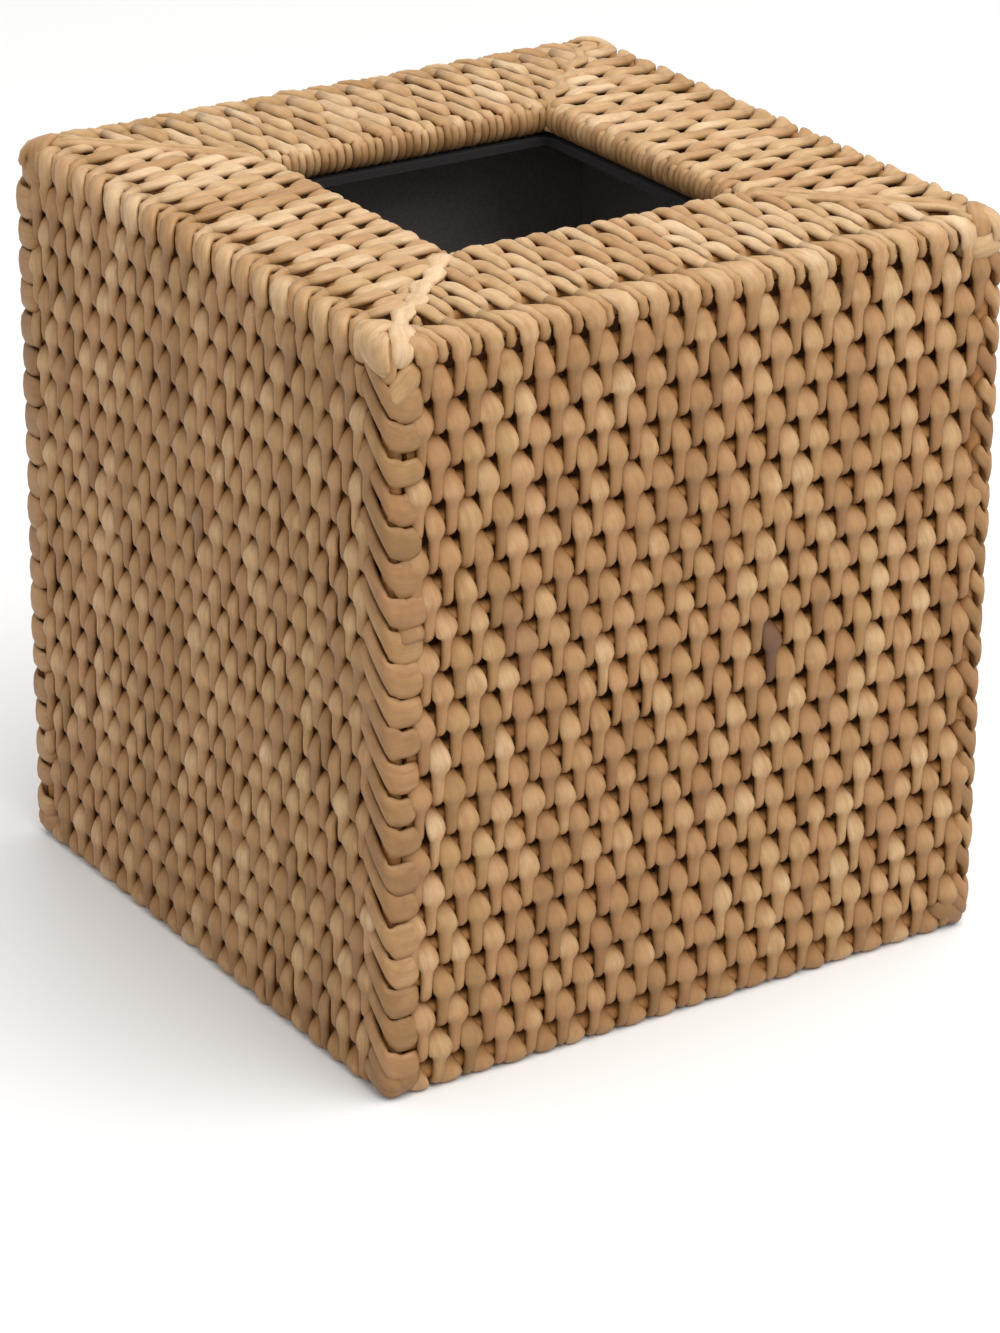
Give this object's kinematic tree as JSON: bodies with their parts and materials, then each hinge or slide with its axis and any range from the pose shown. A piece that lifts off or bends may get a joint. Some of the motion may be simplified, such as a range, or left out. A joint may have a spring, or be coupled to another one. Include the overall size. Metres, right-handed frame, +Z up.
{
  "type": "tissue box cover",
  "caption": "Square lift-off tissue box cover woven in split rattan over a rattan pole frame, open at the bottom, with a square opening in the bordered top and a dark liner inside",
  "frame": {"origin": "middle of the rest face, at the height of the strands' and knots' flat feet", "axes": "+Z up, +X to the right along the front side, -Y out of the front side; all four sides are alike"},
  "size_m": [0.1396, 0.1396, 0.1524],
  "materials": {
    "rattan_strand": "satin",
    "rattan_binding": "satin",
    "rattan_binding_brown": "satin",
    "rattan_pole": "matte",
    "liner_board": "matte",
    "steel_pin": "brushed"
  },
  "bodies": {
    "root": {"post_front_right": "rattan_pole", "post_back_right": "rattan_pole", "post_back_left": "rattan_pole", "post_front_left": "rattan_pole", "bottom_rail_front": "rattan_pole", "bottom_rail_right": "rattan_pole", "bottom_rail_back": "rattan_pole", "bottom_rail_left": "rattan_pole", "top_rail_front": "rattan_pole", "top_rail_right": "rattan_pole", "top_rail_back": "rattan_pole", "top_rail_left": "rattan_pole", "rim_rail_front": "rattan_pole", "rim_rail_right": "rattan_pole", "rim_rail_back": "rattan_pole", "rim_rail_left": "rattan_pole", "mitre_rod_front_right": "rattan_pole", "mitre_rod_back_right": "rattan_pole", "mitre_rod_back_left": "rattan_pole", "mitre_rod_front_left": "rattan_pole", "side_rods_front": "rattan_pole", "side_rods_right": "rattan_pole", "side_rods_back": "rattan_pole", "side_rods_left": "rattan_pole", "top_rods_front": "rattan_pole", "top_rods_right": "rattan_pole", "top_rods_back": "rattan_pole", "top_rods_left": "rattan_pole", "side_strands_front": "rattan_strand", "side_strands_right": "rattan_strand", "side_strands_back": "rattan_strand", "side_strands_left": "rattan_strand", "top_strands_front": "rattan_strand", "top_strands_right": "rattan_strand", "top_strands_back": "rattan_strand", "top_strands_left": "rattan_strand", "corner_binding_front_right": "rattan_binding", "corner_binding_back_right": "rattan_binding", "corner_binding_back_left": "rattan_binding", "corner_binding_front_left": "rattan_binding", "top_knot_front_right": "rattan_binding", "top_knot_back_right": "rattan_binding", "top_knot_back_left": "rattan_binding", "top_knot_front_left": "rattan_binding", "bottom_knot_front_right": "rattan_binding_brown", "bottom_knot_back_right": "rattan_binding_brown", "bottom_knot_back_left": "rattan_binding_brown", "bottom_knot_front_left": "rattan_binding_brown", "mitre_binding_front_right": "rattan_binding", "mitre_binding_back_right": "rattan_binding", "mitre_binding_back_left": "rattan_binding", "mitre_binding_front_left": "rattan_binding", "liner_front": "liner_board", "liner_right": "liner_board", "liner_back": "liner_board", "liner_left": "liner_board", "liner_top": "liner_board", "frame_pins": "steel_pin"}
  },
  "joints": []
}
